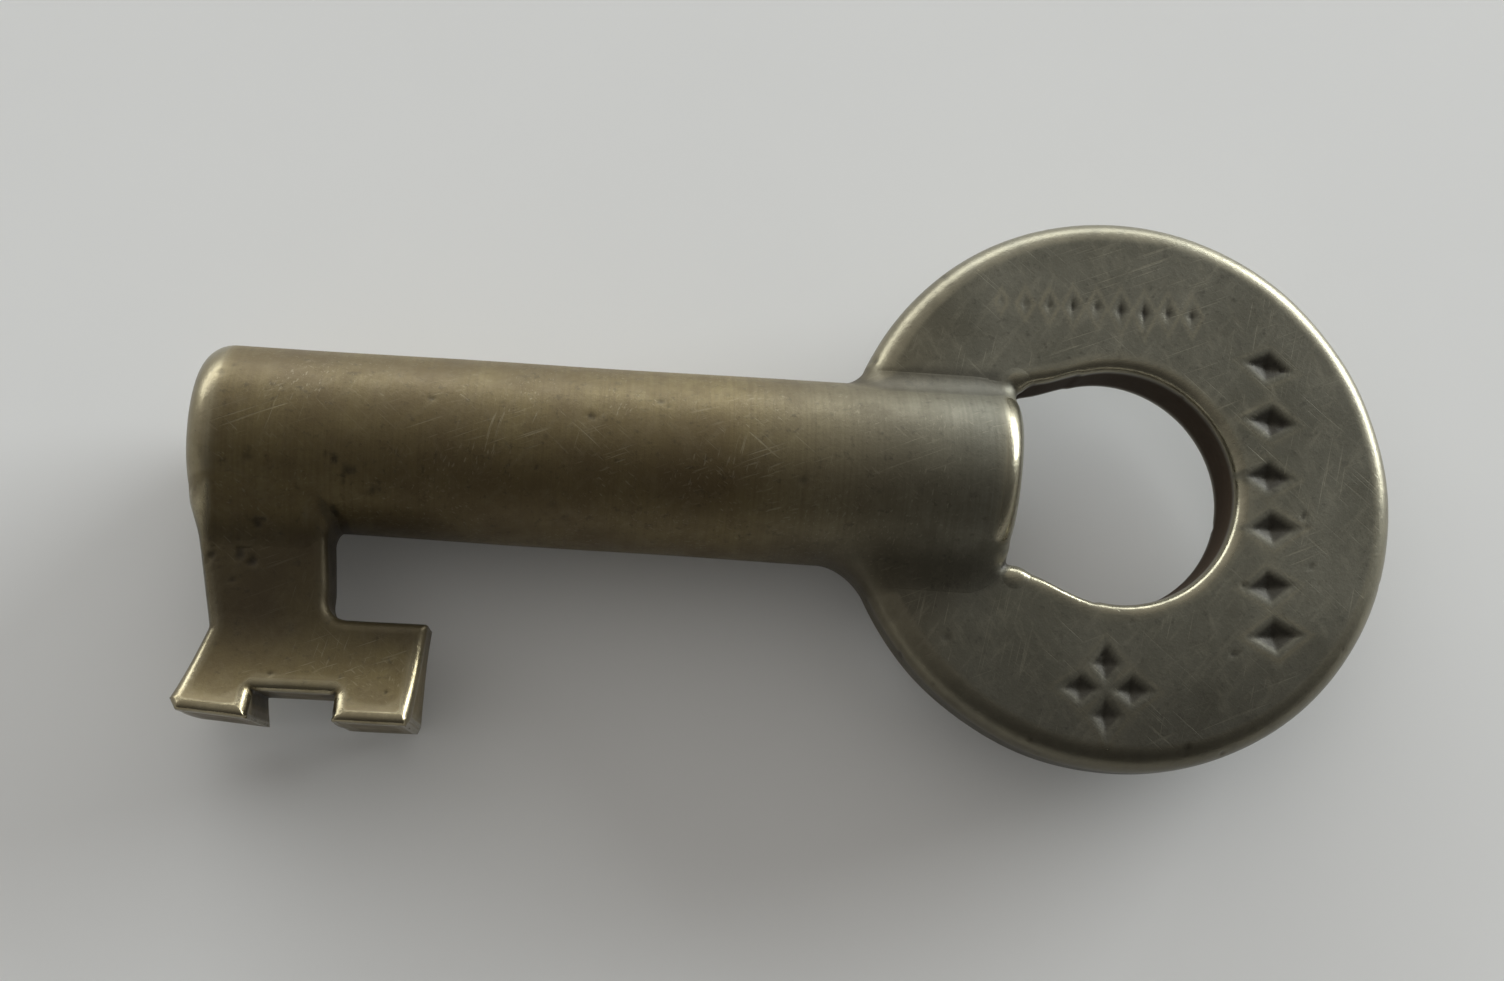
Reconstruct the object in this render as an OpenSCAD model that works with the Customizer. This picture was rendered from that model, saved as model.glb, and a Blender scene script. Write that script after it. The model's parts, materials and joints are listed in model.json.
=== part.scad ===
// Switch key: a drilled barrel, a round bow with an eye at one end and a stepped bit at the other, brazed together.
// The key's own axes: X along the barrel from its tip to the bow, Y across the bow with the bit on -Y, Z through
// the bow. Sizes are in millimetres. at_rest() lays the finished key on the ground.

/* [Barrel] */
// Outer diameter of the barrel
barrel_d = 8.2; // [7.8:0.1:8.8]
// Length of the barrel, from its tip to its square end in the eye
barrel_len = 36; // [33:0.5:40]
// Rounding of the outer edge at the tip
tip_round = 1.2; // [0.4:0.1:1.4]
// Rounding of the edge at the eye
end_round = 0.7; // [0.3:0.1:1]
// Diameter of the bore that goes over the lock's post
bore_d = 4.8; // [4:0.1:5]
// Length of the bore's straight wall
bore_len = 24; // [16:0.5:26]
// Chamfer at the bore's mouth
bore_chamfer = 0.3; // [0.1:0.1:0.5]
// Angle across the drill point at the bore's bottom
drill_angle = 118; // [90:2:140]

/* [Bow] */
// Outer diameter of the bow
bow_d = 25.4; // [23.6:0.2:28]
// Thickness of the bow
bow_t = 3.3; // [3:0.1:4.4]
// Rounding of the bow's rim
rim_round = 1.2; // [0.4:0.1:1.4]
// Diameter of the round part of the eye
eye_d = 10.5; // [10:0.1:11.4]
// Distance from the barrel's end to the centre of the round part of the eye
eye_inset = 4.55; // [3.8:0.05:5]
// Width of the eye at the barrel's end
eye_mouth = 8.9; // [8.6:0.1:9.6]
// Angle from the barrel's direction to where a straight side of the eye meets its round part
eye_turn = 97; // [92:1:100]
// Distance of the bow's centre beyond the eye's centre
bow_shift = 0.2; // [0:0.05:0.8]

/* [Bit] */
// Distance from the tip to the blade's front edge at the barrel
blade_front = 0.3; // [0.1:0.1:0.8]
// Distance from the tip to the blade's front edge at the waist
waist_front = 1.3; // [0.9:0.1:1.8]
// Distance from the tip to the blade's back edge
blade_back = 6.15; // [5.6:0.05:6.8]
// Thickness of the blade at the barrel's surface
root_t = 3.5; // [3.3:0.1:4]
// Thickness of the blade at its waist, where the foot begins to flare
waist_t = 3; // [2.6:0.1:3.3]
// Distance from the tip to the foot's front end
foot_front = 0.6; // [0.2:0.1:1]
// Distance from the tip to the foot's back end
foot_back = 10.75; // [9:0.05:12]
// Distance from the barrel's axis to the foot's inner edge
foot_in = 7.8; // [7.4:0.1:8.4]
// Distance from the barrel's axis to the foot's outer edge
foot_out = 12.4; // [11.4:0.1:13.4]
// Height of the foot's flared outer edge
foot_h = 7.2; // [6:0.1:7.4]
// Distance from the tip to the notch in the foot
notch_front = 3.6; // [2.6:0.1:4.2]
// Width of the notch
notch_w = 3.4; // [2:0.1:4]
// Depth of the notch
notch_depth = 1.2; // [0.6:0.1:2]
// Rounding of the corner between the blade and the foot's arm
hook_round = 0.9; // [0.4:0.1:1.2]

/* [Brazed joints] */
// Clearance all round the bit's tenon in its slot
braze_gap = 0.05; // [0.03:0.01:0.1]
// Wall left between the tenon's slot and the bore
slot_wall = 0.5; // [0.3:0.05:0.7]
// Length of the tenon along the barrel
tenon_len = 3.8; // [3:0.1:4.2]
// Thickness of the tenon
tenon_t = 2.4; // [1.6:0.1:2.8]
// Fillet between the barrel and the bow on the bit's side
near_fillet = 3; // [2:0.1:3.4]
// Fillet between the barrel and the bow on the other side
far_fillet = 1.4; // [1.2:0.1:2]
// Fillet between the barrel and the bit's blade
bit_fillet = 2.6; // [2:0.1:3]

/* [Hidden] */
$fn = 96;
fillet_fn = 720;
// How far a fillet is hollowed past tangency, so that its edges don't thin to nothing
feather = 0.03;
past = 1;
barrel_r = barrel_d / 2;
bore_r = bore_d / 2;
bow_r = bow_d / 2;
eye_x = barrel_len + eye_inset;
bow_x = eye_x + bow_shift;
key_len = bow_x + bow_r;
slot_in = bore_r + slot_wall;
tenon_x = (waist_front + blade_back - tenon_len) / 2;
// Lean of each face of the blade, from the barrel's surface to the waist
blade_lean = atan((root_t - waist_t) / 2 / (foot_in - barrel_r));
// The key lies on its barrel and on the lower edge of its foot
rest_roll = asin(barrel_r / norm([foot_out, foot_h / 2])) - atan2(foot_h / 2, foot_out);
brass = [0.52, 0.47, 0.35];
filler = [0.58, 0.52, 0.36];

// Lays the key at rest, with the middle of its outline over the origin
module at_rest() {
    translate([-key_len / 2, 0, barrel_r]) rotate([rest_roll, 0, 0]) children();
}

// Turns a shape made along Z so that it runs along the barrel
module along_barrel() {
    rotate([0, 90, 0]) children();
}

// Turns an end view, drawn with Y across and Z up, and runs it along the barrel between two places
module end_view(x0, x1) {
    translate([x0, 0, 0]) rotate([90, 0, 90]) linear_extrude(x1 - x0) children();
}

// What a rounding takes away at the outer corner of a rectangle whose corner is at the origin
module corner_cut(r) {
    difference() {
        translate([-r, -r]) square([r + past, r + past]);
        translate([-r, -r]) circle(r);
    }
}

// Solid rod with the barrel's rounded ends
module barrel_rod() {
    along_barrel() rotate_extrude() difference() {
        square([barrel_r, barrel_len]);
        translate([barrel_r, 0]) mirror([0, 1]) corner_cut(tip_round);
        translate([barrel_r, barrel_len]) corner_cut(end_round);
    }
}

// Drilled hole: chamfered mouth, straight wall and drill point
module bore() {
    point_len = bore_r / tan(drill_angle / 2);
    along_barrel() {
        translate([0, 0, -past]) cylinder(h = bore_len + past, r = bore_r);
        translate([0, 0, bore_len]) cylinder(h = point_len, r1 = bore_r, r2 = 0);
        cylinder(h = bore_chamfer, r1 = bore_r + bore_chamfer, r2 = bore_r);
    }
}

module barrel() {
    color(brass) at_rest() difference() {
        barrel_rod();
        bore();
        translate([tenon_x - braze_gap, -barrel_r - past, -tenon_t / 2 - braze_gap])
            cube([tenon_len + 2 * braze_gap, barrel_r + past - slot_in, tenon_t + 2 * braze_gap]);
    }
}

// Round disc with a rounded rim
module bow_disc() {
    rotate_extrude() difference() {
        translate([0, -bow_t / 2]) square([bow_r, bow_t]);
        translate([bow_r, bow_t / 2]) corner_cut(rim_round);
        translate([bow_r, -bow_t / 2]) mirror([0, 1]) corner_cut(rim_round);
    }
}

// Outline of the eye: a circle whose sides run straight to the corners at the barrel's end. Each side is drawn to a
// point a little inside the circle, so that it crosses the round part and doesn't only touch it.
module eye_outline() {
    corner = [-eye_inset, eye_mouth / 2];
    inside = 0.97 * eye_d / 2 * [cos(eye_turn), sin(eye_turn)];
    translate([eye_x, 0]) {
        circle(d = eye_d);
        polygon([corner, inside, [inside.x, -inside.y], [corner.x, -corner.y]]);
    }
}

module bow() {
    color(brass) at_rest() difference() {
        translate([bow_x, 0, 0]) bow_disc();
        translate([0, 0, -bow_t]) linear_extrude(2 * bow_t) eye_outline();
        along_barrel() cylinder(h = barrel_len + past, r = barrel_r);
    }
}

// Plan of the bit: blade, foot with its arm along the barrel, and the notch
module bit_plan() {
    difference() {
        polygon([
            [blade_front, 0], [waist_front, -foot_in], [foot_front, -foot_out], [foot_back, -foot_out],
            [foot_back, -foot_in], [blade_back + hook_round, -foot_in], [blade_back, hook_round - foot_in],
            [blade_back, 0],
        ]);
        translate([blade_back + hook_round, hook_round - foot_in]) circle(hook_round);
        translate([notch_front, -foot_out - past]) square([notch_w, notch_depth + past]);
    }
}

// End view of the bit: blade faces that lean in to the waist, then flare out to the foot's edge
module bit_profile() {
    root = root_t / 2 + barrel_r * tan(blade_lean);
    polygon([
        [0, root], [-foot_in, waist_t / 2], [-foot_out, foot_h / 2],
        [-foot_out, -foot_h / 2], [-foot_in, -waist_t / 2], [0, -root],
    ]);
}

module bit() {
    color(brass) at_rest() {
        difference() {
            intersection() {
                translate([0, 0, -foot_h]) linear_extrude(2 * foot_h) bit_plan();
                end_view(0, foot_back + past) bit_profile();
            }
            barrel_rod();
        }
        translate([tenon_x, -barrel_r - past, -tenon_t / 2])
            cube([tenon_len, barrel_r + past - slot_in - braze_gap, tenon_t]);
    }
}

// End view of a fillet of radius f between the barrel and a face at height h on the axis, leaning down by lean
// towards -Y. It fills the corner between the two surfaces it touches.
module fillet_section(f, h, lean) {
    d = h * cos(lean);
    out = [-sin(lean), cos(lean)];
    along = [-cos(lean), -sin(lean)];
    centre = (d + f) * out + sqrt(pow(barrel_r + f, 2) - pow(d + f, 2)) * along;
    corner = d * out + sqrt(pow(barrel_r, 2) - pow(d, 2)) * along;
    difference() {
        polygon([corner, centre - f * out, centre, barrel_r / (barrel_r + f) * centre]);
        translate(centre) circle(f + feather, $fn = fillet_fn);
        circle(barrel_r, $fn = fillet_fn);
    }
}

// Runs a fillet along the barrel on the upper and the lower side of the key
module fillet_pair(x0, x1, f, h, lean) {
    for (low = [0, 1]) mirror([0, 0, low]) end_view(x0, x1) fillet_section(f, h, lean);
}

module bow_braze() {
    flat_r = bow_r - rim_round;
    start = bow_x - sqrt(pow(flat_r, 2) - pow(barrel_r + near_fillet / 2, 2));
    color(filler) at_rest() {
        fillet_pair(start, barrel_len - end_round, near_fillet, bow_t / 2, 0);
        mirror([0, 1, 0]) fillet_pair(start, barrel_len - end_round, far_fillet, bow_t / 2, 0);
    }
}

module bit_braze() {
    root = root_t / 2 + barrel_r * tan(blade_lean);
    color(filler) at_rest() fillet_pair(tip_round, blade_back, bit_fillet, root, blade_lean);
}

barrel();
bow();
bit();
bow_braze();
bit_braze();
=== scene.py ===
"""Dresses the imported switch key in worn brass, on a pale floor in window light.

Shapes are worked out in the key's own frame, in millimetres: x runs along the barrel from its tip,
y across the bow with the bit on the minus side, and z through the bow. Each piece is meshed from a
field, which gives the distance to its surface, negative inside.
"""
import json
import math

import bpy
import numpy as np
from mathutils import Matrix, Vector


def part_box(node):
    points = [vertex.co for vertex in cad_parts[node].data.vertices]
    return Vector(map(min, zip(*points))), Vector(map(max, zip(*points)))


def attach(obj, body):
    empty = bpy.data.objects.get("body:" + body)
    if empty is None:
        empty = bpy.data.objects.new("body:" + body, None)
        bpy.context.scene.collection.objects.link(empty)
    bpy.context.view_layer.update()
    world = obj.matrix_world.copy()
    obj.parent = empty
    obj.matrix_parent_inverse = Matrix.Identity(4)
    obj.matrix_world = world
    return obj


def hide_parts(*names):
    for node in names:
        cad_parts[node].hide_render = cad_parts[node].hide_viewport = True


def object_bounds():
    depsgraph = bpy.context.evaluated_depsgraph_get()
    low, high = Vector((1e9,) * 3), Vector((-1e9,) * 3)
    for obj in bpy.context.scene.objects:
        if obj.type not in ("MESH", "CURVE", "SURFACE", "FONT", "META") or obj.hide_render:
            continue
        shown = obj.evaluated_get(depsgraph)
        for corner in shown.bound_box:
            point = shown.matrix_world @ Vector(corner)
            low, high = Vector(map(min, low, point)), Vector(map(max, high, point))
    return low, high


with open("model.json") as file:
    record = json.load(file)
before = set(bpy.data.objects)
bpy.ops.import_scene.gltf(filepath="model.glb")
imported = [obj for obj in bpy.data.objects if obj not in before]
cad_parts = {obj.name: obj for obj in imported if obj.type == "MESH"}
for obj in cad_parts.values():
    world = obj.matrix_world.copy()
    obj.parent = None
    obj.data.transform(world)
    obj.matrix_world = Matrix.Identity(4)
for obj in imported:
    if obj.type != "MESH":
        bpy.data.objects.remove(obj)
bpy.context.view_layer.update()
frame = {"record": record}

MM = 0.001

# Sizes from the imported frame
mounts = {m["name"]: m for m in frame["record"]["mounts"]}
barrel_low, barrel_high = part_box("barrel")
bow_low, bow_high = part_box("bow")
bit_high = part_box("bit")[1]
TIP_X = barrel_low.x
BARREL_LEN = (barrel_high.x - barrel_low.x) / MM
BARREL_R = (barrel_high.y - barrel_low.y) / 2 / MM
BORE_R = mounts["barrel_bore"]["dims"]["r_mm"]
BORE_LEN = mounts["barrel_bore"]["dims"]["length_mm"]
EYE_R = mounts["eye"]["dims"]["r_mm"]
EYE_X = (mounts["eye"]["pos_m"][0] - TIP_X) / MM
BOW_T = mounts["eye"]["dims"]["length_mm"]
BOW_R = (bow_high.y - bow_low.y) / 2 / MM
BOW_X = (bow_high.x - TIP_X) / MM - BOW_R
FOOT_REACH = (bit_high.x - TIP_X) / MM
REST_ROLL = math.asin(-mounts["eye"]["axis"][1])

# Barrel: its taper about a share of its length, its rounded tip, its end in the eye and its bore
BARREL_TAPER = 0.27
TAPER_MIDDLE = 0.6
TIP_ROUND = 1.3
END_ROUND = 0.95
END_SHORT = 0.3
END_SLANT = 0.08
END_DOME = 0.012
BORE_ROUND = 0.25
DRILL_POINT = 0.6

# Tenon of the bit in the barrel's slot: x and y of its middle, and half its size along x, y and z
TENON_AT = (3.7, -4.0)
TENON_HALF = (1.9, 1.0, 1.2)
TENON_ROUND = 0.05
TENON_GAP = 0.05

# Bow and its eye, whose mouth at the barrel is drawn from the eye's centre
RIM_ROUND = 1.15
EYE_WEAR = 0.12
WORN_EYE_R = EYE_R + EYE_WEAR
EYE_ROUND = 0.5
EYE_BLEND = 0.4
EYE_FAR_CORNER = 4.4
EYE_NEAR_CORNER = 4.1
EYE_MOUTH = [
    (-4.95, EYE_FAR_CORNER - 0.1), (-4.4, EYE_FAR_CORNER), (-1.9, WORN_EYE_R * 0.92),
    (-1.2, -WORN_EYE_R * 0.96), (-4.4, -EYE_NEAR_CORNER), (-5.35, 0.1 - EYE_NEAR_CORNER),
]

# Bit: the blade thins from root to waist over its height, then the foot flares in a curve
ROOT_T = 3.5
WAIST_T = 3.0
BLADE_H = 4
ROOT_LIMIT = 2
FOOT_IN = 7.9
FOOT_OUT = 12.3
FOOT_UP = 2.95
FOOT_DOWN = 3.55
FLARE_CURVE = 2.3
FLARE_LIMIT = 1.2
NOTCH = (3.6, 6.95)
NOTCH_TOP = 11.1
BLADE_FRONT = [(0.15, -2.4), (0.3, -3.3), (1.45, -8.5)]
FOOT_FRONT = [(0.35, -11.6), (0.7, 0.2 - FOOT_OUT)]
FOOT_BACK = [
    (FOOT_REACH - 0.75, -FOOT_OUT), (FOOT_REACH - 0.6, 0.3 - FOOT_OUT), (FOOT_REACH - 0.3, -FOOT_IN),
]
BLADE_BACK = [(6.2, -6.6), (5.9, -3.9), (5.9, -2.4)]
HOOK_ROUND = 0.8
ARC_POINTS = 7
BIT_ROUND = 0.5

# Fillets of filler: their radii, and where and to what radius they run out
NEAR_FILLET = 1.5
FAR_FILLET = 0.75
BOW_RUN_OUT = 0.45
BOW_RUN_LEN = 2.5
BIT_FILLET = 1.5
BIT_RUN_OUT = 0.5
BLADE_START = (-0.2, 1.2)
BLADE_END = (6.4, 5.0)
BORE_EDGE = (BORE_R + 0.2, BORE_R + 1.3)
BORE_CLEAR = 0.15

# Beads of filler at the eye's corners
BEAD_R = 0.4
BEAD_BLEND = 0.6
BEAD_IN = 0.3
BEAD_Z = 0.95
BEAD_FAR = EYE_FAR_CORNER + 0.1
BEAD_NEAR = EYE_NEAR_CORNER + 0.3

# How far filler goes under the surfaces it joins, lies below flush, and pieces reach into the barrel
SKIN = 0.4
SINK = 0.006
LAP = 0.02

# Ripples in the metal: height, wave length and seed for each piece
RIPPLE_WAVES = 7
RIPPLE_PEAK = 4
RIPPLE_SPREAD = (0.6, 1.6)
BARREL_RIPPLE = (0.02, 9, 3)
BOW_RIPPLE = (0.025, 7, 5)
BIT_RIPPLE = (0.02, 4, 8)

# Plain struck marks on the bow
MARK_SEED = 21
MARK_SLOPE = 2.4
MARK_REACH = 0.6
MARK_ROUND = 0.05
COLUMN_X = 47.45
COLUMN_PITCH = 2.5
COLUMN_COUNT = 6
COLUMN_FIRST = 2.35
COLUMN_HALF = (1.2, 0.78)
COLUMN_LOOSE = 0.08
ROW_X = 40
ROW_Y = 8.15
ROW_PITCH = 1.12
ROW_COUNT = 9
ROW_FIRST = 4.5
ROW_HALF = (0.4, 0.8)
ROW_LOOSE = 0.05
ROW_DEEPEST = 6
ROW_WEAR = 0.25
ROW_UNEVEN = 0.12
CLUSTER = (39.8, -9.2)
CLUSTER_COUNT = 4
CLUSTER_R = 1.15
CLUSTER_HALF = (0.95, 0.7)

# Pits, and the larger ones near the bit: x, y, radius
PIT_DEPTH = 0.06
PIT_DIRT = 0.6
PIT_UNEVEN = 0.6
PIT_WAVE = 0.5
SMALL_PIT_R = (0.12, 0.3)
SMALL_PIT_SHARE = (0.3, 0.9)
LARGE_PITS = [
    (6.28, -1.58, 0.3), (6.89, -1.97, 0.35), (7.86, -2.63, 0.3), (6.27, -3.5, 0.25),
    (3.14, -4.17, 0.35), (1.3, -5.6, 0.3), (2.49, -5.41, 0.4), (3.05, -5.67, 0.3),
]

# A distance out of reach of every mark and pit
FAR_OFF = 9.0

# Rubbed metal: each pair is the range over which a share goes from none to all
FINE_SPAN = 0.22
BROAD_SPAN = 0.8
EDGE_BEND = (0.35, 1.35)
BROAD_EDGE_BEND = (0.3, 0.8)
BROAD_EDGE_SHARE = 0.3
TIP_END = (1.5, 0.6)
TIP_BEND = (0.3, 0.7)
TIP_SHARE = 0.5
BEAD_NEARBY = (0.25, 0.05)
EYE_NEARBY = (0.35, 0.1)
EYE_MIDDLE = (1.4, 0.8)
HOOK_X = ((4.6, 5.4), (13, 11))
HOOK_Y = ((-2.5, -3.5), (-9.4, -8.4))
HOOK_SPARED = 0.8
MARK_RUBBED = (0.1, 0.35)

# Dirt in corners and marks, and painted shade, partly with dirt, in broad concave places and where
# nothing rubs, with ranges in the same way
CORNER_BEND = (1.2, 4.0)
CORNER_SHARE = 0.8
# Broad concave places such as the fillets and the foot's crease: dirt with painted shade
BROAD_CONCAVE_SHADE_BEND = (0.08, 0.5)
BROAD_CONCAVE_SHADE_SHARE = 0.45
CORNER_START = (0.3, 1.2)
MARK_DIRTY = (0.02, -0.2)
MARK_SHARE = 0.75
# Blade: dirt with painted shade, darker where the barrel shades it from the light
BLADE_GRIME_SHADE_X = (12, 11)
BLADE_GRIME_SHADE_Y = ((-3.4, -4.8), (-10.8, -8.0))
BLADE_GRIME_SHADE = 0.5
# Bow beside the barrel on the near side: painted shadow of the barrel, with some dirt
BESIDE_GRIME_SHADOW_X = ((22, 29), (BARREL_LEN + 1, BARREL_LEN - 3))
BESIDE_GRIME_SHADOW_Y = ((-9.0, -4.5), (-3.0, -4.2))
BESIDE_GRIME_SHADOW = 0.4
# Bow's near edge: painted shade, darker towards the side away from the light
NEAR_EDGE_SHADE_X = (26, 30)
NEAR_EDGE_SHADE_Y = (-3.0, -12.5)
NEAR_EDGE_SHADE = 0.5

# Meshing: the box and step of each piece's grid, and its number of small pits
GRIDS = {
    "barrel": ((-0.6, -4.9, -4.9), (BARREL_LEN + 0.6, 4.9, 4.9), 0.15),
    "bow": ((BOW_X - 13.4, -13.4, -2.3), (BOW_X + 13.4, 13.4, 2.3), 0.12),
    "bit": ((-0.5, -13, -4.2), (11.4, -1.8, 4.2), 0.1),
    "bow_braze": ((26, -6.6, -4.6), (37, 5.8, 4.6), 0.11),
    "bit_braze": ((-0.8, -8, -4.4), (7.8, -0.2, 4.4), 0.1),
}
PIT_COUNTS = {"barrel": 60, "bow": 50, "bit": 30, "bow_braze": 8, "bit_braze": 6}
SLOPE_STEP = 0.01
LEAST_SLOPE = 0.2
LEAST_NORMAL = 0.1
SETTLE_PASSES = 3
SPECK_FACES = 100
KEY_TO_FRAME = (
    Matrix.Translation((TIP_X, 0, BARREL_R * MM))
    @ Matrix.Rotation(REST_ROLL, 4, "X")
    @ Matrix.Scale(MM, 4)
)


def colour(red, green, blue):
    """Linear colour of an sRGB value given from 0 to 255."""
    return tuple(((c / 255 + 0.055) / 1.055) ** 2.4 for c in (red, green, blue)) + (1.0,)


# Colours of the brass, which greys along x from the barrel to the bow
PATINA = colour(110, 97, 63)
STAIN = colour(87, 73, 46)
GREY_PATINA = colour(110, 107, 93)
GREY_STAIN = colour(87, 84, 70)
BARE = colour(196, 188, 162)
AMBER = colour(58, 38, 16)
# Dark brown for dirt, and for painted shade in broad concave and sheltered places
DIRT_SHADE_BROWN = colour(28, 22, 15)
GREYING = (bow_low.x / MM - 6, bow_low.x / MM + 5)

# Patterns in the brass: size in millimetres, detail, roughness and turn about z
BROAD = (6, 3)
MOTTLE = (1.2, 6, 0.65)
SPECK = (0.45, 3, 0.7)
GRAIN = (0.16, 4, 0.7)
TURNING = ((0.14, 9, 9), 2)
SCUFF = ((2.6, 0.5, 0.5), 4, 0.7, 0.9)
CROSS_SCUFF = ((0.5, 1.8, 0.5), 4, 0.7, 0.5)
HAIRLINE = ((7, 0.11, 0.11), 1, 0.6)
HAIRLINE_PATCH = (4, 2, 0.6)

# Directions of the hairlines, and the pattern's value at which those lines begin
HAIRLINES = [(0.4, 0.63), (1.35, 0.64), (-0.7, 0.65)]
HAIRLINE_RISE = 0.07
PATCH_RANGE = (0.45, 0.62)

# Ranges of a pattern, and where given, of the share it is mapped to
BROAD_STAIN = (0.35, 0.65)
MOTTLE_STAIN = (0.45, 0.72, 0, 0.65)
TURNING_STAIN = (0.4, 0.7)
SPECK_DIRT = (0.58, 0.72, 0, 0.35)
SCUFF_BARE = (0.52, 0.78)
RUB_UNEVEN = (0.3, 0.6, 0.5, 1.0)
GRAIN_DIRT = (0.62, 0.8, 0, 0.6)
METAL_SHARE = (0, 0.8, 0.5, 0.95)
ROUGHNESS = (0.3, 0.7, 0.42, 0.56)

# Shares in the brass's colour, roughness and relief
HAIRLINE_BARE = 0.13
WALL_AMBER = 0.85
WALL_ROUGH = 0.85
RUB_SMOOTH = 0.3
GRAIN_RELIEF = 0.5
SPECK_RELIEF = 0.5
HAIRLINE_RELIEF = 0.2
BUMP_STRENGTH = 0.4
BUMP_HEIGHT = 0.04

# Floor, in metres: its flat radius, and the cove that turns up around it
FLOOR_R = 2.6
COVE_R = 0.5
COVE_STEPS = 12
FLOOR_SIDES = 96
FLOOR_MOTTLE = 20
FLOOR_TINTS = (colour(234, 233, 230), colour(239, 238, 235))
FLOOR_ROUGHNESS = 0.9
FLOOR_SPECULAR = 0.15

# Light, in metres and watts, and the room's strength by how far a direction faces its bright side
WINDOW = {"place": (-0.6, 1.9, 0.4), "aim": (0, 0, 0), "size": (4.4, 0.76), "power": 52}
SIDE_WINDOW = {"place": (1.275, 0.92, 0.32), "aim": (0.015, 0, 0), "size": (1.12, 0.52), "power": 32}
DAYLIGHT = (0.92, 0.97, 1.0)
ROOM_TINT = (1.0, 0.98, 0.95, 1)
ROOM_FACING = (-0.4, 0.8, -0.05)
ROOM_FADE = {"From Min": -0.7, "From Max": 1.0, "To Min": 0.09, "To Max": 0.7}

# Camera that sees the key as the photograph does
CAMERA_AT = Vector((-9.42, -19.45, 74.78)) * MM
CAMERA_AIM = Vector((-2.64, -0.98, 4.1)) * MM
CAMERA_TURN = 23.08
CAMERA_LENS = 39.28


# Helpers for fields

def rounded_rectangle(u, v, half_u, half_v, corner):
    """Distance to a rectangle about the origin with rounded corners."""
    a = np.abs(u) - half_u + corner
    b = np.abs(v) - half_v + corner
    return np.hypot(np.maximum(a, 0), np.maximum(b, 0)) + np.minimum(np.maximum(a, b), 0) - corner


def polygon(u, v, points):
    """Distance to a closed polygon."""
    best = np.full(u.shape, np.inf)
    inside = np.zeros(u.shape, bool)
    for (au, av), (bu, bv) in zip(points, points[1:] + points[:1]):
        eu, ev = bu - au, bv - av
        t = np.clip(((u - au) * eu + (v - av) * ev) / (eu * eu + ev * ev), 0, 1)
        best = np.minimum(best, np.hypot(u - au - t * eu, v - av - t * ev))
        crosses = (av > v) != (bv > v)
        if ev:
            inside ^= crosses & (u < au + (v - av) * eu / ev)
    return np.where(inside, -best, best)


def lozenge(u, v, half_u, half_v):
    """Distance to a lozenge about the origin, true beside its sides."""
    return (np.abs(u) / half_u + np.abs(v) / half_v - 1) * half_u * half_v / math.hypot(half_u, half_v)


def join_round(a, b, r):
    """Both shapes, with a fillet of radius r in the corner between them."""
    return np.maximum(r, np.minimum(a, b)) - np.hypot(np.maximum(r - a, 0), np.maximum(r - b, 0))


def keep_round(a, b, r):
    """What both shapes share, with its edges rounded to radius r."""
    return np.minimum(-r, np.maximum(a, b)) + np.hypot(np.maximum(r + a, 0), np.maximum(r + b, 0))


def smooth(start, end, value):
    """Rises smoothly from 0 at start to 1 at end."""
    t = np.clip((value - start) / (end - start), 0, 1)
    return t * t * (3 - 2 * t)


def within(first, last, value):
    """Rises over one range and falls over the other."""
    return smooth(*first, value) * smooth(*last, value)


def ripple(p, height, length, seed):
    """Uneven swell of about the given height, whose waves are about the given length."""
    rng = np.random.default_rng(seed)
    total = np.zeros(len(p))
    for _ in range(RIPPLE_WAVES):
        way = rng.normal(size=3)
        way *= 2 * math.pi / length / np.linalg.norm(way) * rng.uniform(*RIPPLE_SPREAD)
        total += np.sin(p @ way + rng.uniform(0, 2 * math.pi))
    return height * (total / RIPPLE_PEAK)


def arc(cx, cy, r, start, end):
    """Points along an arc, for the round stretches of an outline."""
    turns = np.radians(np.linspace(start, end, ARC_POINTS))
    return [(cx + r * math.cos(a), cy + r * math.sin(a)) for a in turns]


# Barrel

def barrel_rod(p):
    """The barrel as a solid rod, slightly tapered, with a slanted and domed end in the eye."""
    x, y, z = p.T
    r = BARREL_R + BARREL_TAPER * (x / BARREL_LEN - TAPER_MIDDLE)
    end = BARREL_LEN - END_SHORT + END_SLANT * y - END_DOME * z ** 2
    corner = np.where(x < BARREL_LEN / 2, TIP_ROUND, END_ROUND)
    rod = rounded_rectangle(x - end / 2, np.hypot(y, z), end / 2, r, corner)
    return rod + ripple(p, *BARREL_RIPPLE)


def tenon(p, gap):
    """The bit's tenon, or with a gap all round it, the slot that takes it."""
    x, y, z = p.T
    half_x, half_y, half_z = TENON_HALF
    along = rounded_rectangle(x - TENON_AT[0], z, half_x + gap, half_z + gap, TENON_ROUND)
    return np.maximum(along, np.abs(y - TENON_AT[1]) - half_y - gap)


def drilled_rod(p):
    """The rod with its bore, which has a rounded mouth and ends in a drill point."""
    x, y, z = p.T
    rho = np.hypot(y, z)
    bore = np.maximum(rho - BORE_R, x - BORE_LEN - DRILL_POINT * (BORE_R - rho))
    return keep_round(barrel_rod(p), -bore, BORE_ROUND)


def barrel_field(p):
    return np.maximum(drilled_rod(p), -tenon(p, TENON_GAP))


# Bow

def eye_outline(p):
    """The worn eye: a circle that opens into a mouth at the barrel."""
    x, y, _ = p.T
    u = x - EYE_X
    return join_round(np.hypot(u, y) - WORN_EYE_R, polygon(u, y, EYE_MOUTH), EYE_BLEND)


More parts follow.
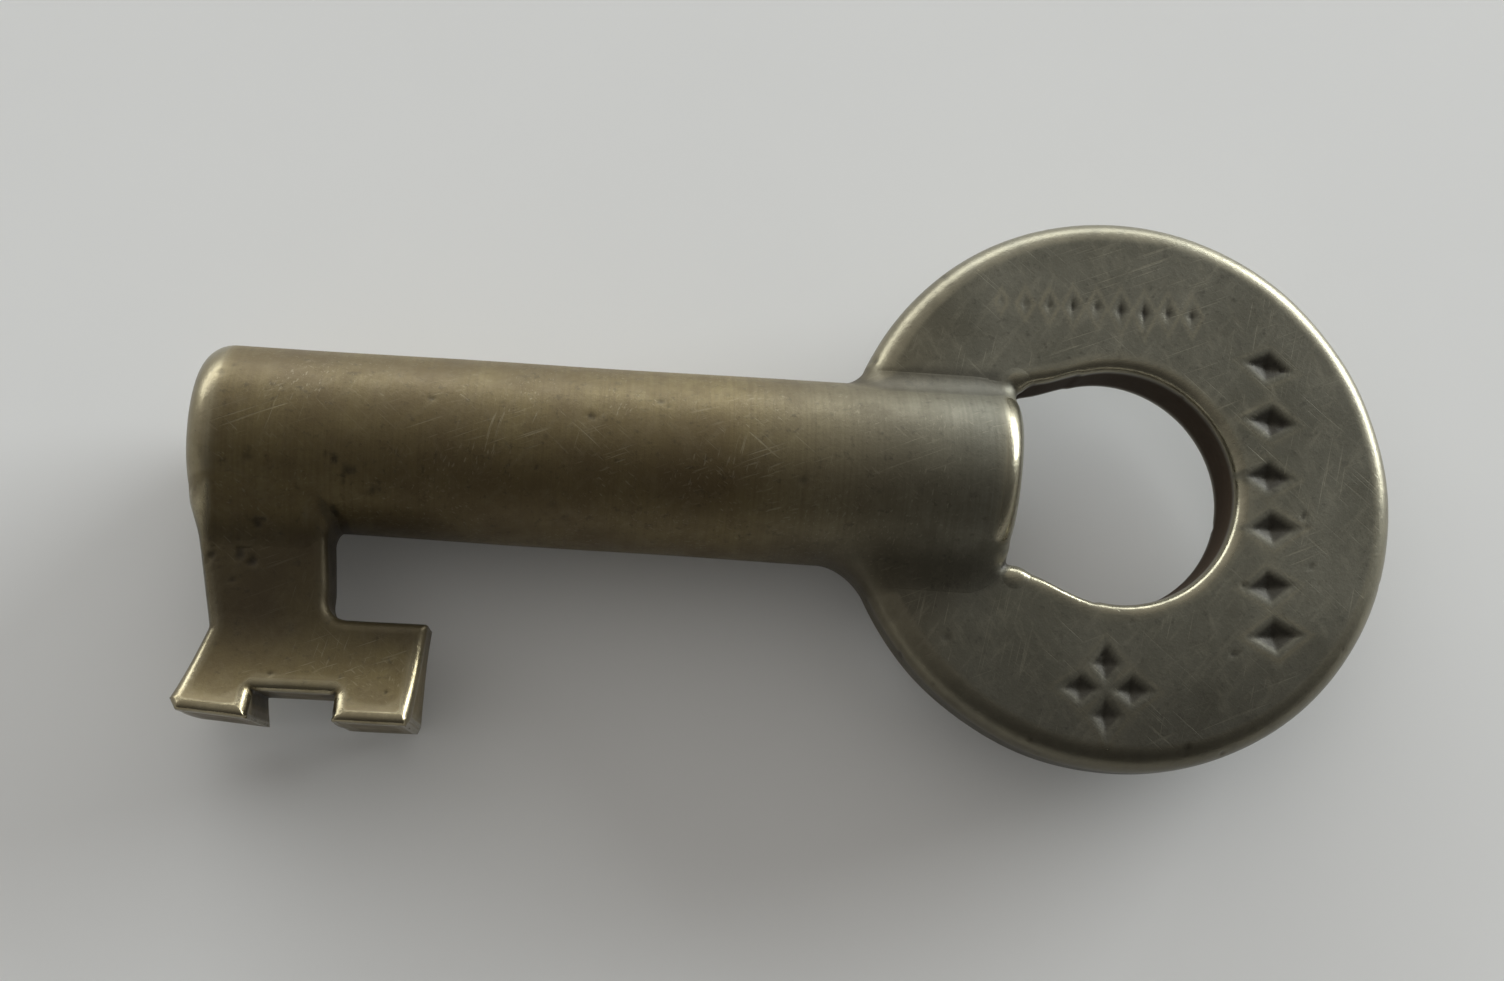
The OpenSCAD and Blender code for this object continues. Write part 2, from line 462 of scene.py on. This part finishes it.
def column_marks(x, y, rng):
    """A column of lozenges, each a little out of line."""
    for i in range(COLUMN_COUNT):
        du, dv, turn = rng.normal(0, COLUMN_LOOSE, 3)
        u = x - COLUMN_X - du
        v = y - COLUMN_PITCH * (COLUMN_FIRST - i) - dv
        yield lozenge(u + turn * v, v - turn * u, *COLUMN_HALF)


def row_marks(x, y, rng):
    """A row of small lozenges, worn shallower away from the deepest one."""
    for i in range(ROW_COUNT):
        worn = ROW_WEAR * abs(i - ROW_DEEPEST) / ROW_DEEPEST + rng.uniform(0, ROW_UNEVEN)
        u = x - ROW_X - ROW_PITCH * (i - ROW_FIRST)
        v = y - ROW_Y - rng.normal(0, ROW_LOOSE)
        yield lozenge(u, v, *ROW_HALF) + worn


def cluster_marks(x, y):
    """Lozenges around a middle point, each pointing away from it."""
    for i in range(CLUSTER_COUNT):
        turn = i * 2 * math.pi / CLUSTER_COUNT
        u = x - CLUSTER[0] - CLUSTER_R * math.cos(turn)
        v = y - CLUSTER[1] - CLUSTER_R * math.sin(turn)
        half = CLUSTER_HALF if i % 2 == 0 else CLUSTER_HALF[::-1]
        yield lozenge(u, v, *half)


def struck_marks(p):
    """Outlines of the struck marks: a column of lozenges, a worn row of small ones and a cluster."""
    x, y, _ = p.T
    rng = np.random.default_rng(MARK_SEED)
    best = np.full(x.shape, FAR_OFF)
    for marks in (column_marks(x, y, rng), row_marks(x, y, rng), cluster_marks(x, y)):
        for mark in marks:
            best = np.minimum(best, mark)
    return best


def bow_plate(p):
    """The bow as a whole disc with its eye and its struck marks."""
    x, y, z = p.T
    disc = rounded_rectangle(np.hypot(x - BOW_X, y), z, BOW_R, BOW_T / 2, RIM_ROUND)
    plate = keep_round(disc, -eye_outline(p), EYE_ROUND) + ripple(p, *BOW_RIPPLE)
    top = (z > BOW_T / 2 - MARK_REACH) & (x > BOW_X - BOW_R)
    punch = (struck_marks(p[top]) + MARK_SLOPE * (BOW_T / 2 - z[top])) / math.hypot(1, MARK_SLOPE)
    plate[top] = keep_round(plate[top], -punch, MARK_ROUND)
    return plate


def bow_field(p):
    return np.maximum(bow_plate(p), -barrel_rod(p) - LAP)


# Bit

def bit_plan(p):
    """Outline of the bit from above: blade, foot with its notch, and the hook between foot and blade."""
    x, y, _ = p.T
    front, back = NOTCH
    notch = [(front, -FOOT_OUT), (front, -NOTCH_TOP), (back, -NOTCH_TOP), (back, -FOOT_OUT)]
    hook = arc(BLADE_BACK[0][0] + HOOK_ROUND, HOOK_ROUND - FOOT_IN, HOOK_ROUND, 270, 180)
    return polygon(x, y, BLADE_FRONT + FOOT_FRONT + notch + FOOT_BACK + hook + BLADE_BACK)


def bit_profile(p):
    """Blade that thins towards its waist, then flares in a concave curve to the foot's edge."""
    _, y, z = p.T
    t = np.clip((-y - FOOT_IN) / (FOOT_OUT - FOOT_IN), 0, FLARE_LIMIT)
    flare = np.where(z > 0, FOOT_UP, FOOT_DOWN) - WAIST_T / 2
    thicker = (ROOT_T - WAIST_T) / 2 * np.clip((FOOT_IN + y) / BLADE_H, 0, ROOT_LIMIT)
    half = WAIST_T / 2 + thicker + flare * t ** FLARE_CURVE
    lean = FLARE_CURVE * flare / (FOOT_OUT - FOOT_IN) * t ** (FLARE_CURVE - 1)
    return (np.abs(z) - half) / np.hypot(1, lean)


def bit_body(p):
    return keep_round(bit_plan(p), bit_profile(p), BIT_ROUND) + ripple(p, *BIT_RIPPLE)


def bit_field(p):
    return np.minimum(np.maximum(bit_body(p), -barrel_rod(p) - LAP), tenon(p, 0))


# Filler

def bow_fillet(p):
    """Radius of the fillet between the barrel and the bow; it runs out at the eye."""
    x, y, _ = p.T
    r = np.where(y < 0, NEAR_FILLET, FAR_FILLET)
    return BOW_RUN_OUT + (r - BOW_RUN_OUT) * smooth(BARREL_LEN, BARREL_LEN - BOW_RUN_LEN, x)


def bit_fillet(p):
    """Radius of the fillet between the barrel and the blade; it runs out at the edges and the bore."""
    x, y, z = p.T
    r = BIT_RUN_OUT + (BIT_FILLET - BIT_RUN_OUT) * smooth(*BLADE_START, x) * smooth(*BLADE_END, x)
    return r * smooth(*BORE_EDGE, np.hypot(y, z))


def beads(p):
    """Drops of filler at the corners of the eye."""
    x, y, z = p.T
    along = x - BARREL_LEN + BEAD_IN
    across = np.abs(y) - np.where(y > 0, BEAD_FAR, BEAD_NEAR)
    up = np.abs(z) - BEAD_Z
    return np.sqrt(along ** 2 + across ** 2 + up ** 2) - BEAD_R


def under_skin(a, b, r):
    """Where a fillet lies, with a skin of it under the surfaces that it joins."""
    return np.maximum(-np.minimum(a, b) - SKIN, np.maximum(a, b) - r)


def bow_joint(rod, bow, p):
    return join_round(join_round(rod, bow, bow_fillet(p)), beads(p), BEAD_BLEND)


def bow_braze_field(p):
    rod, bow = barrel_rod(p), bow_plate(p)
    skin = np.minimum(under_skin(rod, bow, bow_fillet(p)), beads(p) - BEAD_BLEND)
    return np.maximum(bow_joint(rod, bow, p) + SINK, np.maximum(skin, -np.minimum(rod, bow) - SKIN))


def bit_braze_field(p):
    rod, bit, r = barrel_rod(p), bit_body(p), bit_fillet(p)
    fillet = np.maximum(join_round(rod, bit, r) + SINK, under_skin(rod, bit, r))
    return np.maximum(fillet, BORE_R + BORE_CLEAR - np.hypot(p[:, 1], p[:, 2]))


def key_field(p):
    """The whole key as one surface, for wear that runs on from piece to piece."""
    rod = drilled_rod(p)
    return np.minimum(bow_joint(rod, bow_plate(p), p), join_round(rod, bit_body(p), bit_fillet(p)))


# Meshing

def slope(field, p):
    """Gradient of a field by small steps."""
    steps = np.eye(3) * SLOPE_STEP
    return np.stack([(field(p + s) - field(p - s)) / (2 * SLOPE_STEP) for s in steps], axis=1)


def bend(field, p, span):
    """How sharply the surface bends outwards: positive on edges, negative in corners."""
    steps = np.concatenate([np.eye(3), -np.eye(3)]) * span
    return (sum(field(p + s) for s in steps) - len(steps) * field(p)) / span ** 2


def crossings_along(axis, values, nodes, step):
    """Quads, cells and points of the grid edges along one axis that the surface crosses."""
    first = np.moveaxis(values, axis, 0)[:-1]
    second = np.moveaxis(values, axis, 0)[1:]
    found = np.argwhere((first < 0) != (second < 0))
    v0, v1 = first[tuple(found.T)], second[tuple(found.T)]
    edge = np.empty_like(found)
    edge[:, [axis] + [i for i in range(3) if i != axis]] = found
    point = nodes[tuple(edge.T)]
    point[:, axis] += step * v0 / (v0 - v1)
    cells = []
    for back, side in ((0, 0), (-1, 0), (-1, -1), (0, -1)):
        cell = edge.copy()
        cell[:, (axis + 1) % 3] += back
        cell[:, (axis + 2) % 3] += side
        cells.append(np.ravel_multi_index(cell.T, values.shape))
    ring = np.stack(cells, axis=1)
    quads = np.where((v0 < 0)[:, None], ring, ring[:, ::-1])
    return quads, np.concatenate(cells), np.tile(point, (len(cells), 1))


def surface(field, low, high, step):
    """Vertices and quads of a field's surface: one vertex in each grid cell that it crosses."""
    low = np.array(low, float)
    shape = np.ceil((np.array(high) - low) / step).astype(int) + 1
    nodes = low + step * np.stack(np.meshgrid(*map(np.arange, shape), indexing="ij"), axis=-1)
    values = field(nodes.reshape(-1, 3)).reshape(shape)
    found = [crossings_along(axis, values, nodes, step) for axis in range(3)]
    quads, cells, points = (np.concatenate(part) for part in zip(*found))
    used, inverse = np.unique(cells, return_inverse=True)
    counts = np.bincount(inverse)
    vertices = np.stack([np.bincount(inverse, points[:, i]) / counts for i in range(3)], axis=1)
    for _ in range(SETTLE_PASSES):
        g = slope(field, vertices)
        move = -(field(vertices) / np.maximum((g * g).sum(1), LEAST_SLOPE))[:, None] * g
        vertices = vertices + np.clip(move, -step, step)
    return vertices, np.searchsorted(used, quads)


def face_groups(quads):
    """A label for each face, shared by the faces that plain edges, with two faces each, join."""
    edges = np.sort(np.stack([quads, np.roll(quads, -1, axis=1)], axis=-1).reshape(-1, 2), axis=1)
    _, edge, count = np.unique(edges, axis=0, return_inverse=True, return_counts=True)
    edge = edge.ravel()
    order = np.argsort(edge, kind="stable")
    plain = order[count[edge[order]] == 2]
    pairs = (plain // quads.shape[1]).reshape(-1, 2)
    label = np.arange(len(quads))
    settled = False
    while not settled:
        lower = label.copy()
        np.minimum.at(lower, pairs, label[pairs].min(axis=1)[:, None])
        lower = lower[lower]
        settled = np.array_equal(lower, label)
        label = lower
    return label


def drop_specks(vertices, quads):
    """Leaves out specks, joined by a pinch at most, that a grid finds where surfaces graze."""
    label = face_groups(quads)
    kept = quads[np.bincount(label)[label] >= SPECK_FACES]
    used, renumbered = np.unique(kept, return_inverse=True)
    return vertices[used], renumbered.reshape(kept.shape)


# Wear

def pit_depth(p, count):
    """Share of a pit's depth at each point: larger pits near the bit, and a count of small ones.

    The count also seeds the small pits, so they differ from piece to piece.
    """
    rng = np.random.default_rng(count)
    depth = np.zeros(len(p))
    uneven = 1 + ripple(p, PIT_UNEVEN, PIT_WAVE, count)
    for x, y, r in LARGE_PITS:
        away = np.where(p[:, 2] > 0, np.hypot(p[:, 0] - x, p[:, 1] - y), FAR_OFF)
        depth = np.maximum(depth, smooth(r, 0, away * uneven))
    for centre in p[rng.integers(0, len(p), count)]:
        r = rng.uniform(*SMALL_PIT_R)
        away = np.linalg.norm(p - centre, axis=1)
        depth = np.maximum(depth, rng.uniform(*SMALL_PIT_SHARE) * smooth(r, 0, away * uneven))
    return depth


def grime_and_shade(p):
    """Share of painted shade, with dirt on the blade and beside the barrel: the blade, the bow beside
    the barrel and its near edge.
    """
    x, y, _ = p.T
    # Blade: dirt with painted shade where the barrel shades it
    blade = within(*BLADE_GRIME_SHADE_Y, y) * smooth(*BLADE_GRIME_SHADE_X, x)
    # Painted shadow of the barrel, with some dirt, on the bow beside it
    beside = within(*BESIDE_GRIME_SHADOW_Y, y) * within(*BESIDE_GRIME_SHADOW_X, x)
    # Painted shade, darker towards the bow's near edge, away from the light
    near_edge_shade = smooth(*NEAR_EDGE_SHADE_Y, y) * smooth(*NEAR_EDGE_SHADE_X, x)
    return np.maximum.reduce([BLADE_GRIME_SHADE * blade, BESIDE_GRIME_SHADOW * beside, NEAR_EDGE_SHADE * near_edge_shade])


def wear(p):
    """Shares of the finishes: rubbed edges, tip and beads, dirt and painted shade in concave and
    sheltered places, and the eye's brown wall.
    """
    x, y, z = p.T
    fine = bend(key_field, p, FINE_SPAN)
    broad = bend(key_field, p, BROAD_SPAN)
    mark = np.where(z > BOW_T / 4, struck_marks(p), FAR_OFF)
    bead = smooth(*BEAD_NEARBY, beads(p))
    wall = smooth(*EYE_NEARBY, np.abs(eye_outline(p))) * smooth(*EYE_MIDDLE, np.abs(z))
    hook = within(*HOOK_X, x) * within(*HOOK_Y, y)
    edge = np.maximum(smooth(*EDGE_BEND, fine), BROAD_EDGE_SHARE * smooth(*BROAD_EDGE_BEND, broad))
    edge = edge * (1 - wall) * (1 - HOOK_SPARED * hook) * smooth(*MARK_RUBBED, mark)
    tip = TIP_SHARE * smooth(*TIP_END, x) * smooth(*TIP_BEND, fine)
    corner = CORNER_SHARE * smooth(*CORNER_BEND, -fine)
    # Broad concave places get dirt with painted shade, darker as the surface curves in
    corner = np.maximum(corner, BROAD_CONCAVE_SHADE_SHARE * smooth(*BROAD_CONCAVE_SHADE_BEND, -broad))
    corner = corner * smooth(*CORNER_START, x)
    # Dirt in corners and marks, and painted shade in broad concave and sheltered places
    dirt_and_shade = np.maximum.reduce([corner, MARK_SHARE * smooth(*MARK_DIRTY, mark), grime_and_shade(p)])
    return {"edge": np.maximum.reduce([edge, tip, bead]), "dirt_and_shade": dirt_and_shade * (1 - bead), "wall": wall}


def weathered(field, vertices, pits):
    """Sinks pits into the vertices, and gives the shares of the finishes there."""
    finish = wear(vertices)
    pit = pit_depth(vertices, pits)
    finish["dirt_and_shade"] = 1 - (1 - finish["dirt_and_shade"]) * (1 - PIT_DIRT * pit)
    normal = slope(field, vertices)
    normal /= np.maximum(np.linalg.norm(normal, axis=1), LEAST_NORMAL)[:, None]
    return vertices - PIT_DEPTH * pit[:, None] * normal, finish


# Materials

class Nodes:
    """Short calls for building a material's node tree."""

    def __init__(self, name):
        self.material = bpy.data.materials.new(name)
        self.material.use_nodes = True
        self.tree = self.material.node_tree
        self.shader = self.tree.nodes["Principled BSDF"]

    def add(self, kind, inputs=None, **settings):
        """A node with its settings, and its inputs linked where they are sockets."""
        node = self.tree.nodes.new(kind)
        for key, value in settings.items():
            setattr(node, key, value)
        for key, value in (inputs or {}).items():
            if isinstance(value, bpy.types.NodeSocket):
                self.tree.links.new(value, node.inputs[key])
            else:
                node.inputs[key].default_value = value
        return node

    def place(self, size, turn=0.0):
        """Object coordinates turned about z, in units of a size in millimetres, for all axes or each."""
        source = self.add("ShaderNodeTexCoord").outputs["Object"]
        unit = Vector(size if isinstance(size, tuple) else (size, size, size)) * MM
        inputs = {"Vector": source, "Scale": unit, "Rotation": (0, 0, turn)}
        return self.add("ShaderNodeMapping", inputs, vector_type="TEXTURE").outputs[0]

    def noise(self, size, detail=4.0, rough=0.6, turn=0.0):
        """Noise whose features are about the given size."""
        inputs = {"Vector": self.place(size, turn), "Scale": 1, "Detail": detail, "Roughness": rough}
        return self.add("ShaderNodeTexNoise", inputs).outputs["Fac"]

    def span(self, value, low, high, to_low=0.0, to_high=1.0):
        """Maps low..high to to_low..to_high, clamped."""
        inputs = {"Value": value, "From Min": low, "From Max": high, "To Min": to_low, "To Max": to_high}
        return self.add("ShaderNodeMapRange", inputs).outputs[0]

    def math(self, operation, a, b):
        return self.add("ShaderNodeMath", {0: a, 1: b}, operation=operation).outputs[0]

    def mix(self, factor, a, b):
        """Colour a where the factor is 0, and b where it is 1."""
        return self.add("ShaderNodeMix", {0: factor, 6: a, 7: b}, data_type="RGBA").outputs[2]

    def attribute(self, name):
        return self.add("ShaderNodeAttribute", attribute_name=name).outputs["Fac"]

    def feed(self, socket, value):
        self.tree.links.new(value, self.shader.inputs[socket])


def hairlines(n):
    """Fine scratches in patches, along several directions."""
    lines = []
    for turn, start in HAIRLINES:
        line = n.span(n.noise(*HAIRLINE, turn), start, start + HAIRLINE_RISE)
        patch = n.span(n.noise(*HAIRLINE_PATCH, turn), *PATCH_RANGE)
        lines.append(n.math("MULTIPLY", line, patch))
    first, second, third = lines
    return n.math("MAXIMUM", n.math("MAXIMUM", first, second), third)


def patina_tone(n, mottle, speck, turned, scuffed):
    """Patina that greys towards the bow, with stains, turning lines, specks of dirt and scuffs."""
    along = n.add("ShaderNodeSeparateXYZ", {0: n.place(1)}).outputs["X"]
    grey = n.span(along, *GREYING)
    stain = n.mix(grey, STAIN, GREY_STAIN)
    tone = n.mix(n.span(n.noise(*BROAD), *BROAD_STAIN), n.mix(grey, PATINA, GREY_PATINA), stain)
    tone = n.mix(n.span(mottle, *MOTTLE_STAIN), tone, stain)
    tone = n.mix(n.span(n.noise(*TURNING), *TURNING_STAIN, 0, turned), tone, stain)
    tone = n.mix(n.span(speck, *SPECK_DIRT), tone, DIRT_SHADE_BROWN)
    scuff = n.math("MAXIMUM", n.noise(*SCUFF), n.noise(*CROSS_SCUFF))
    return n.mix(n.span(scuff, *SCUFF_BARE, 0, scuffed), tone, BARE)


def brass_relief(n, grain, speck, lines):
    """Fine relief: grain and specks stand up, and scratches lie below."""
    height = n.math("MULTIPLY", grain, GRAIN_RELIEF)
    height = n.math("SUBTRACT", height, n.math("MULTIPLY", lines, HAIRLINE_RELIEF))
    height = n.math("ADD", height, n.math("MULTIPLY", speck, SPECK_RELIEF))
    inputs = {"Height": height, "Strength": BUMP_STRENGTH, "Distance": BUMP_HEIGHT * MM}
    return n.add("ShaderNodeBump", inputs).outputs[0]


def aged_brass(name, rub, turned, scuffed):
    """Old brass: patina, dirt and painted shade in concave and sheltered places, a brown eye wall, and
    edges rubbed bare and smoother.
    """
    n = Nodes(name)
    mottle = n.noise(*MOTTLE)
    speck = n.noise(*SPECK)
    grain = n.noise(*GRAIN)
    lines = hairlines(n)
    wall = n.attribute("wall")
    rubbed = n.math("MULTIPLY", n.attribute("edge"), n.span(mottle, *RUB_UNEVEN))
    worn = n.math("MAXIMUM", n.math("MULTIPLY", rubbed, rub), n.math("MULTIPLY", lines, HAIRLINE_BARE))
    # The dark share: dirt, and painted shade in broad concave and sheltered places
    dirt = n.math("MAXIMUM", n.attribute("dirt_and_shade"), n.span(grain, *GRAIN_DIRT))
    tone = n.mix(worn, patina_tone(n, mottle, speck, turned, scuffed), BARE)
    tone = n.mix(dirt, tone, DIRT_SHADE_BROWN)
    tone = n.mix(n.math("MULTIPLY", wall, WALL_AMBER), tone, AMBER)
    rough = n.math("MAXIMUM", n.span(mottle, *ROUGHNESS), n.math("MULTIPLY", wall, WALL_ROUGH))
    n.feed("Base Color", tone)
    n.feed("Metallic", n.span(rubbed, *METAL_SHARE))
    n.feed("Roughness", n.math("SUBTRACT", rough, n.math("MULTIPLY", rubbed, RUB_SMOOTH)))
    n.feed("Normal", brass_relief(n, grain, speck, lines))
    return n.material


# Pieces

def make_piece(name, field, material):
    """Meshes a field, dresses it and puts it in place of the CAD node of that name."""
    vertices, quads = drop_specks(*surface(field, *GRIDS[name]))
    vertices, finish = weathered(field, vertices, PIT_COUNTS[name])
    mesh = bpy.data.meshes.new(name + "_worn")
    mesh.from_pydata(vertices.tolist(), [], quads.tolist())
    for attribute, share in finish.items():
        data = mesh.attributes.new(attribute, "FLOAT", "POINT").data
        data.foreach_set("value", share.astype(np.float32))
    mesh.transform(KEY_TO_FRAME)
    mesh.polygons.foreach_set("use_smooth", [True] * len(mesh.polygons))
    mesh.materials.append(material)
    mesh.update()
    piece = bpy.data.objects.new(name + "_worn", mesh)
    bpy.context.collection.objects.link(piece)
    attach(piece, "root")
    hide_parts(name)


def make_pieces():
    barrel_brass = aged_brass("barrel_brass", rub=0.5, turned=0.5, scuffed=0.05)
    bow_brass = aged_brass("bow_brass", rub=0.5, turned=0.1, scuffed=0.14)
    bit_brass = aged_brass("bit_brass", rub=0.4, turned=0.2, scuffed=0.05)
    filler_brass = aged_brass("filler_brass", rub=0.5, turned=0.3, scuffed=0.07)
    make_piece("barrel", barrel_field, barrel_brass)
    make_piece("bow", bow_field, bow_brass)
    make_piece("bit", bit_field, bit_brass)
    make_piece("bow_braze", bow_braze_field, filler_brass)
    make_piece("bit_braze", bit_braze_field, filler_brass)


# Stage

def floor_mesh():
    """Round floor under the key, turned up far off so that low views end in it too."""
    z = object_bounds()[0].z
    turns = np.linspace(0, math.pi / 2, COVE_STEPS)
    rings = [(FLOOR_R + COVE_R * math.sin(a), COVE_R * (1 - math.cos(a))) for a in turns]
    around = np.linspace(0, 2 * math.pi, FLOOR_SIDES, endpoint=False)
    vertices = [(r * math.cos(b), r * math.sin(b), z + h) for r, h in rings for b in around]
    faces = [tuple(range(FLOOR_SIDES))]
    for inner in range(0, FLOOR_SIDES * (COVE_STEPS - 1), FLOOR_SIDES):
        outer = inner + FLOOR_SIDES
        for side in range(FLOOR_SIDES):
            after = (side + 1) % FLOOR_SIDES
            faces.append((inner + side, outer + side, outer + after, inner + after))
    mesh = bpy.data.meshes.new("floor")
    mesh.from_pydata(vertices, [], faces)
    mesh.polygons.foreach_set("use_smooth", [True] * len(faces))
    return mesh


def make_floor():
    mesh = floor_mesh()
    n = Nodes("floor_paint")
    n.feed("Base Color", n.mix(n.noise(FLOOR_MOTTLE), *FLOOR_TINTS))
    n.shader.inputs["Roughness"].default_value = FLOOR_ROUGHNESS
    n.shader.inputs["Specular IOR Level"].default_value = FLOOR_SPECULAR
    mesh.materials.append(n.material)
    floor = bpy.data.objects.new("floor", mesh)
    bpy.context.collection.objects.link(floor)


def make_area_light(name, place, aim, size, power):
    data = bpy.data.lights.new(name, "AREA")
    data.shape = "RECTANGLE"
    data.size, data.size_y = size
    data.energy = power
    data.color = DAYLIGHT
    light = bpy.data.objects.new(name, data)
    light.location = place
    light.rotation_euler = (Vector(aim) - Vector(place)).to_track_quat("-Z", "Y").to_euler()
    bpy.context.collection.objects.link(light)


def make_room():
    """Dim light from all round, brightest from beyond the key on its tip's side."""
    world = bpy.data.worlds.new("room")
    world.use_nodes = True
    tree = world.node_tree
    background = tree.nodes["Background"]
    place = tree.nodes.new("ShaderNodeTexCoord")
    facing = tree.nodes.new("ShaderNodeVectorMath")
    facing.operation = "DOT_PRODUCT"
    facing.inputs[1].default_value = ROOM_FACING
    fade = tree.nodes.new("ShaderNodeMapRange")
    fade.interpolation_type = "SMOOTHSTEP"
    for socket, value in ROOM_FADE.items():
        fade.inputs[socket].default_value = value
    tree.links.new(place.outputs["Generated"], facing.inputs[0])
    tree.links.new(facing.outputs["Value"], fade.inputs["Value"])
    tree.links.new(fade.outputs[0], background.inputs["Strength"])
    background.inputs["Color"].default_value = ROOM_TINT
    bpy.context.scene.world = world


def make_light():
    """A long low window beyond the key, a bright one at its far right, and the room."""
    make_area_light("window", **WINDOW)
    make_area_light("side_window", **SIDE_WINDOW)
    make_room()


def make_camera():
    data = bpy.data.cameras.new("camera")
    data.lens = CAMERA_LENS
    data.clip_start = MM
    camera = bpy.data.objects.new("camera", data)
    look = (CAMERA_AIM - CAMERA_AT).to_track_quat("-Z", "Y").to_matrix().to_4x4()
    turn = Matrix.Rotation(math.radians(CAMERA_TURN), 4, "Z")
    camera.matrix_world = Matrix.Translation(CAMERA_AT) @ look @ turn
    bpy.context.collection.objects.link(camera)
    bpy.context.scene.camera = camera


make_pieces()
make_floor()
make_light()
make_camera()
bpy.context.scene.view_settings.view_transform = "Standard"
